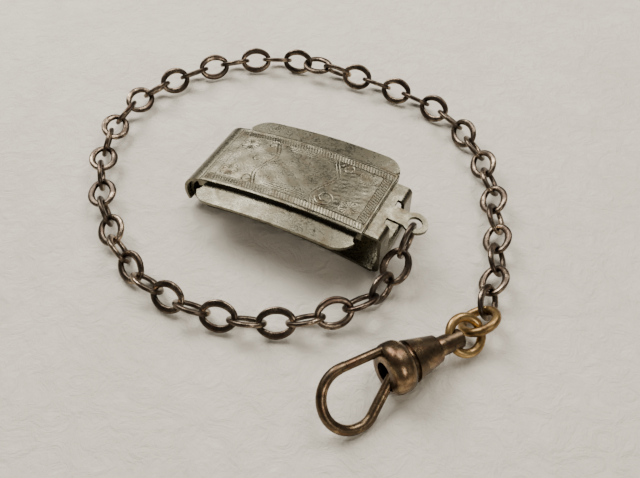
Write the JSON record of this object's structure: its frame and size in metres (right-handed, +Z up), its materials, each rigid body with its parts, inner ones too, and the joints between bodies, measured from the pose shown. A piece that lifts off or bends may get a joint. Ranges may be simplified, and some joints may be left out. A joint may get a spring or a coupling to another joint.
{
  "type": "pocket watch chain",
  "caption": "Pocket watch chain: folded metal belt clip, oval link trace chain, two jump rings and a swivel clasp with a sprung gate, laid in a loop.",
  "frame": {"origin": "middle of the laid object in plan, on the table under it", "axes": "+Z up from the table, +X along the belt clip from its fold to its eyelet, +Y across the clip"},
  "size_m": [0.0826, 0.0744, 0.0095],
  "materials": {
    "clip_metal": "dull nickel silver with brown stains",
    "chain_metal": "dark brown patina rubbed to copper on the high spots",
    "ring_metal": "aged yellow brass",
    "clasp_metal": "dark bronze patina",
    "spring_steel": "plain spring wire"
  },
  "bodies": {
    "frame": {"clip_frame": "clip_metal"},
    "lid": {"clip_lid": "clip_metal"},
    "link_01": {"link_01": "chain_metal"},
    "link_02": {"link_02": "chain_metal"},
    "link_03": {"link_03": "chain_metal"},
    "link_04": {"link_04": "chain_metal"},
    "link_05": {"link_05": "chain_metal"},
    "link_06": {"link_06": "chain_metal"},
    "link_07": {"link_07": "chain_metal"},
    "link_08": {"link_08": "chain_metal"},
    "link_09": {"link_09": "chain_metal"},
    "link_10": {"link_10": "chain_metal"},
    "link_11": {"link_11": "chain_metal"},
    "link_12": {"link_12": "chain_metal"},
    "link_13": {"link_13": "chain_metal"},
    "link_14": {"link_14": "chain_metal"},
    "link_15": {"link_15": "chain_metal"},
    "link_16": {"link_16": "chain_metal"},
    "link_17": {"link_17": "chain_metal"},
    "link_18": {"link_18": "chain_metal"},
    "link_19": {"link_19": "chain_metal"},
    "link_20": {"link_20": "chain_metal"},
    "link_21": {"link_21": "chain_metal"},
    "link_22": {"link_22": "chain_metal"},
    "link_23": {"link_23": "chain_metal"},
    "link_24": {"link_24": "chain_metal"},
    "link_25": {"link_25": "chain_metal"},
    "link_26": {"link_26": "chain_metal"},
    "link_27": {"link_27": "chain_metal"},
    "link_28": {"link_28": "chain_metal"},
    "link_29": {"link_29": "chain_metal"},
    "link_30": {"link_30": "chain_metal"},
    "link_31": {"link_31": "chain_metal"},
    "link_32": {"link_32": "chain_metal"},
    "link_33": {"link_33": "chain_metal"},
    "link_34": {"link_34": "chain_metal"},
    "link_35": {"link_35": "chain_metal"},
    "link_36": {"link_36": "chain_metal"},
    "link_37": {"link_37": "chain_metal"},
    "link_38": {"link_38": "chain_metal"},
    "link_39": {"link_39": "chain_metal"},
    "link_40": {"link_40": "chain_metal"},
    "link_41": {"link_41": "chain_metal"},
    "link_42": {"link_42": "chain_metal"},
    "link_43": {"link_43": "chain_metal"},
    "link_44": {"link_44": "chain_metal"},
    "link_45": {"link_45": "chain_metal"},
    "link_46": {"link_46": "chain_metal"},
    "link_47": {"link_47": "chain_metal"},
    "link_48": {"link_48": "chain_metal"},
    "link_49": {"link_49": "chain_metal"},
    "ring_a": {"jump_ring_a": "ring_metal"},
    "ring_b": {"jump_ring_b": "ring_metal"},
    "shank": {"swivel_shank": "clasp_metal", "swivel_pin": "clasp_metal"},
    "clasp_hook_body": {"clasp_spindle": "clasp_metal", "clasp_hook": "clasp_metal", "clasp_spring": "spring_steel"},
    "clasp_sleeve_body": {"clasp_sleeve": "clasp_metal", "clasp_gate": "clasp_metal"}
  },
  "joints": [
    {"name": "lid_hinge", "type": "hinge", "parent": "frame", "child": "lid", "pos_m": [-0.01243, -0.00182, 0.0034], "axis": [0, -1, 0], "range_deg": [0, 32]},
    {"name": "link_01_swing", "type": "hinge", "parent": "frame", "child": "link_01", "pos_m": [0.02347, -0.00347, 0.00757], "axis": [-0.9986, 0.0523, 0], "range_deg": [-24, 24]},
    {"name": "link_02_swing", "type": "hinge", "parent": "link_01", "child": "link_02", "pos_m": [0.02329, -0.00673, 0.00463], "axis": [0.035, 0.6682, -0.7431], "range_deg": [-24, 4]},
    {"name": "link_03_swing", "type": "hinge", "parent": "link_02", "child": "link_03", "pos_m": [0.02324, -0.01065, 0.00239], "axis": [-0.989, 0.0876, -0.1194], "range_deg": [-24, 24]},
    {"name": "link_04_swing", "type": "hinge", "parent": "link_03", "child": "link_04", "pos_m": [0.02224, -0.0151, 0.00286], "axis": [-0.2275, 0.0945, 0.9692], "range_deg": [-24, 24]},
    {"name": "link_05_swing", "type": "hinge", "parent": "link_04", "child": "link_05", "pos_m": [0.01973, -0.01887, 0.00291], "axis": [-0.6559, 0.3958, -0.6427], "range_deg": [-24, 24]},
    {"name": "link_06_swing", "type": "hinge", "parent": "link_05", "child": "link_06", "pos_m": [0.01651, -0.02202, 0.0026], "axis": [0.5354, -0.4638, -0.7059], "range_deg": [-24, 24]},
    {"name": "link_07_swing", "type": "hinge", "parent": "link_06", "child": "link_07", "pos_m": [0.01291, -0.02472, 0.00231], "axis": [0.4254, -0.6214, 0.6579], "range_deg": [-24, 24]},
    {"name": "link_08_swing", "type": "hinge", "parent": "link_07", "child": "link_08", "pos_m": [0.00891, -0.02679, 0.00217], "axis": [-0.3568, 0.611, 0.7067], "range_deg": [-24, 24]},
    {"name": "link_09_swing", "type": "hinge", "parent": "link_08", "child": "link_09", "pos_m": [0.00462, -0.02818, 0.00219], "axis": [0.2412, -0.6967, 0.6756], "range_deg": [-24, 24]},
    {"name": "link_10_swing", "type": "hinge", "parent": "link_09", "child": "link_10", "pos_m": [0.0002, -0.02902, 0.00224], "axis": [0.1338, -0.6944, -0.7071], "range_deg": [-24, 24]},
    {"name": "link_11_swing", "type": "hinge", "parent": "link_10", "child": "link_11", "pos_m": [-0.0043, -0.0293, 0.00224], "axis": [-0.0554, 0.7202, -0.6915], "range_deg": [-24, 24]},
    {"name": "link_12_swing", "type": "hinge", "parent": "link_11", "child": "link_12", "pos_m": [-0.00879, -0.02891, 0.0022], "axis": [0.0458, 0.7056, 0.7071], "range_deg": [-24, 24]},
    {"name": "link_13_swing", "type": "hinge", "parent": "link_12", "child": "link_13", "pos_m": [-0.01315, -0.02778, 0.00218], "axis": [0.1683, 0.6868, -0.7071], "range_deg": [-24, 24]},
    {"name": "link_14_swing", "type": "hinge", "parent": "link_13", "child": "link_14", "pos_m": [-0.01726, -0.02592, 0.00227], "axis": [-0.2912, -0.6445, -0.707], "range_deg": [-24, 24]},
    {"name": "link_15_swing", "type": "hinge", "parent": "link_14", "child": "link_15", "pos_m": [-0.02102, -0.02345, 0.00247], "axis": [-0.2241, -0.4229, 0.878], "range_deg": [-24, 24]},
    {"name": "link_16_swing", "type": "hinge", "parent": "link_15", "child": "link_16", "pos_m": [-0.02455, -0.02066, 0.00266], "axis": [0.5576, 0.6901, 0.4614], "range_deg": [-24, 24]},
    {"name": "link_17_swing", "type": "hinge", "parent": "link_16", "child": "link_17", "pos_m": [-0.02791, -0.01767, 0.00276], "axis": [-0.1185, -0.1726, 0.9778], "range_deg": [-24, 16]},
    {"name": "link_18_swing", "type": "hinge", "parent": "link_17", "child": "link_18", "pos_m": [-0.03098, -0.01438, 0.00283], "axis": [-0.7167, -0.6754, -0.1736], "range_deg": [-24, 24]},
    {"name": "link_19_swing", "type": "hinge", "parent": "link_18", "child": "link_19", "pos_m": [-0.03367, -0.01077, 0.00285], "axis": [-0.0548, -0.0336, -0.9979], "range_deg": [-24, 24]},
    {"name": "link_20_swing", "type": "hinge", "parent": "link_19", "child": "link_20", "pos_m": [-0.036, -0.00691, 0.00281], "axis": [0.8436, 0.5208, -0.1305], "range_deg": [-24, 24]},
    {"name": "link_21_swing", "type": "hinge", "parent": "link_20", "child": "link_21", "pos_m": [-0.03787, -0.00282, 0.00273], "axis": [-0.2931, -0.1546, -0.9435], "range_deg": [-24, 24]},
    {"name": "link_22_swing", "type": "hinge", "parent": "link_21", "child": "link_22", "pos_m": [-0.03905, 0.00153, 0.00272], "axis": [-0.8711, -0.2502, 0.4226], "range_deg": [-24, 24]},
    {"name": "link_23_swing", "type": "hinge", "parent": "link_22", "child": "link_23", "pos_m": [-0.03941, 0.00603, 0.00274], "axis": [0.571, 0.0542, 0.8191], "range_deg": [-24, 24]},
    {"name": "link_24_swing", "type": "hinge", "parent": "link_23", "child": "link_24", "pos_m": [-0.03888, 0.01051, 0.00265], "axis": [0.7886, -0.0871, -0.6087], "range_deg": [-24, 24]},
    {"name": "link_25_swing", "type": "hinge", "parent": "link_24", "child": "link_25", "pos_m": [-0.03761, 0.01483, 0.00249], "axis": [0.6579, -0.1556, 0.7369], "range_deg": [-24, 24]},
    {"name": "link_26_swing", "type": "hinge", "parent": "link_25", "child": "link_26", "pos_m": [-0.03583, 0.01896, 0.00238], "axis": [-0.5864, 0.264, 0.7658], "range_deg": [-16, 24]},
    {"name": "link_27_swing", "type": "hinge", "parent": "link_26", "child": "link_27", "pos_m": [-0.03356, 0.02285, 0.00235], "axis": [-0.6694, 0.3724, -0.6428], "range_deg": [-24, 24]},
    {"name": "link_28_swing", "type": "hinge", "parent": "link_27", "child": "link_28", "pos_m": [-0.03071, 0.02634, 0.00236], "axis": [0.4945, -0.3892, -0.7771], "range_deg": [-24, 14]},
    {"name": "link_29_swing", "type": "hinge", "parent": "link_28", "child": "link_29", "pos_m": [-0.02736, 0.02936, 0.00237], "axis": [-0.5343, 0.5792, -0.6157], "range_deg": [-24, 24]},
    {"name": "link_30_swing", "type": "hinge", "parent": "link_29", "child": "link_30", "pos_m": [-0.02362, 0.03186, 0.00236], "axis": [-0.3489, 0.5073, 0.788], "range_deg": [-12, 24]},
    {"name": "link_31_swing", "type": "hinge", "parent": "link_30", "child": "link_31", "pos_m": [-0.0195, 0.03369, 0.00238], "axis": [0.3397, -0.7343, 0.5878], "range_deg": [-24, 24]},
    {"name": "link_32_swing", "type": "hinge", "parent": "link_31", "child": "link_32", "pos_m": [-0.01507, 0.03458, 0.00251], "axis": [0.1193, -0.4225, -0.8985], "range_deg": [-24, 10]},
    {"name": "link_33_swing", "type": "hinge", "parent": "link_32", "child": "link_33", "pos_m": [-0.01058, 0.03483, 0.00263], "axis": [0.0725, -0.9949, -0.0697], "range_deg": [-24, 24]},
    {"name": "link_34_swing", "type": "hinge", "parent": "link_33", "child": "link_34", "pos_m": [-0.00608, 0.03494, 0.00259], "axis": [0.0216, -0.5874, 0.809], "range_deg": [-24, 24]},
    {"name": "link_35_swing", "type": "hinge", "parent": "link_34", "child": "link_35", "pos_m": [-0.00158, 0.03494, 0.00245], "axis": [0.0186, 0.6429, 0.7657], "range_deg": [-12, 24]},
    {"name": "link_36_swing", "type": "hinge", "parent": "link_35", "child": "link_36", "pos_m": [0.00292, 0.03477, 0.00237], "axis": [0.0144, 0.766, -0.6427], "range_deg": [-24, 24]},
    {"name": "link_37_swing", "type": "hinge", "parent": "link_36", "child": "link_37", "pos_m": [0.0074, 0.03433, 0.00235], "axis": [0.0636, 0.6397, 0.766], "range_deg": [-14, 24]},
    {"name": "link_38_swing", "type": "hinge", "parent": "link_37", "child": "link_38", "pos_m": [0.01183, 0.03354, 0.00234], "axis": [-0.1241, -0.7374, 0.6639], "range_deg": [-16, 24]},
    {"name": "link_39_swing", "type": "hinge", "parent": "link_38", "child": "link_39", "pos_m": [0.01611, 0.03214, 0.00235], "axis": [-0.1919, -0.6135, -0.766], "range_deg": [-24, 16]},
    {"name": "link_40_swing", "type": "hinge", "parent": "link_39", "child": "link_40", "pos_m": [0.01998, 0.02982, 0.00235], "axis": [0.3601, 0.6338, -0.6845], "range_deg": [-24, 24]},
    {"name": "link_41_swing", "type": "hinge", "parent": "link_40", "child": "link_41", "pos_m": [0.02337, 0.02685, 0.00235], "axis": [-0.4142, -0.4915, -0.766], "range_deg": [-24, 24]},
    {"name": "link_42_swing", "type": "hinge", "parent": "link_41", "child": "link_42", "pos_m": [0.02643, 0.02355, 0.00235], "axis": [-0.5159, -0.4872, 0.7046], "range_deg": [-24, 24]},
    {"name": "link_43_swing", "type": "hinge", "parent": "link_42", "child": "link_43", "pos_m": [0.02912, 0.01994, 0.00235], "axis": [0.5906, 0.4511, 0.6691], "range_deg": [-24, 24]},
    {"name": "link_44_swing", "type": "hinge", "parent": "link_43", "child": "link_44", "pos_m": [0.03133, 0.01601, 0.00232], "axis": [0.5939, 0.3506, -0.7242], "range_deg": [-24, 24]},
    {"name": "link_45_swing", "type": "hinge", "parent": "link_44", "child": "link_45", "pos_m": [0.03317, 0.0119, 0.00227], "axis": [0.7563, 0.3396, 0.5592], "range_deg": [-24, 24]},
    {"name": "link_46_swing", "type": "hinge", "parent": "link_45", "child": "link_46", "pos_m": [0.03487, 0.00773, 0.00225], "axis": [-0.6172, -0.2586, 0.7431], "range_deg": [-24, 24]},
    {"name": "link_47_swing", "type": "hinge", "parent": "link_46", "child": "link_47", "pos_m": [0.03642, 0.00351, 0.00227], "axis": [-0.7854, -0.294, -0.5446], "range_deg": [-24, 24]},
    {"name": "link_48_swing", "type": "hinge", "parent": "link_47", "child": "link_48", "pos_m": [0.03758, -0.00084, 0.00232], "axis": [0.6216, 0.1641, -0.766], "range_deg": [-24, 12]},
    {"name": "link_49_swing", "type": "hinge", "parent": "link_48", "child": "link_49", "pos_m": [0.03826, -0.00529, 0.00238], "axis": [-0.8358, -0.1437, -0.5299], "range_deg": [-24, 24]},
    {"name": "ring_a_swing", "type": "hinge", "parent": "link_49", "child": "ring_a", "pos_m": [0.03851, -0.00979, 0.0024], "axis": [0.6146, 0.0361, -0.788], "range_deg": [-24, 24]},
    {"name": "ring_b_swing", "type": "hinge", "parent": "ring_a", "child": "ring_b", "pos_m": [0.03795, -0.01376, 0.00273], "axis": [-0.8177, 0.0678, -0.5717], "range_deg": [-24, 24]},
    {"name": "shank_swing", "type": "hinge", "parent": "ring_b", "child": "shank", "pos_m": [0.03591, -0.0169, 0.00307], "axis": [-0.6585, 0.4901, 0.5712], "range_deg": [-24, 24]},
    {"name": "clasp_swivel", "type": "hinge", "parent": "shank", "child": "clasp_hook_body", "pos_m": [0.03057, -0.02513, 0.00397], "axis": [0.5424, 0.8352, -0.0914], "continuous": true},
    {"name": "sleeve_slide", "type": "slide", "parent": "clasp_hook_body", "child": "clasp_sleeve_body", "axis": [0.5424, 0.8352, -0.0914], "range_m": [0, 0.0018], "stiffness_N_per_m": 150, "springref_m": -0.002, "deforming": ["clasp_spring"]}
  ]
}
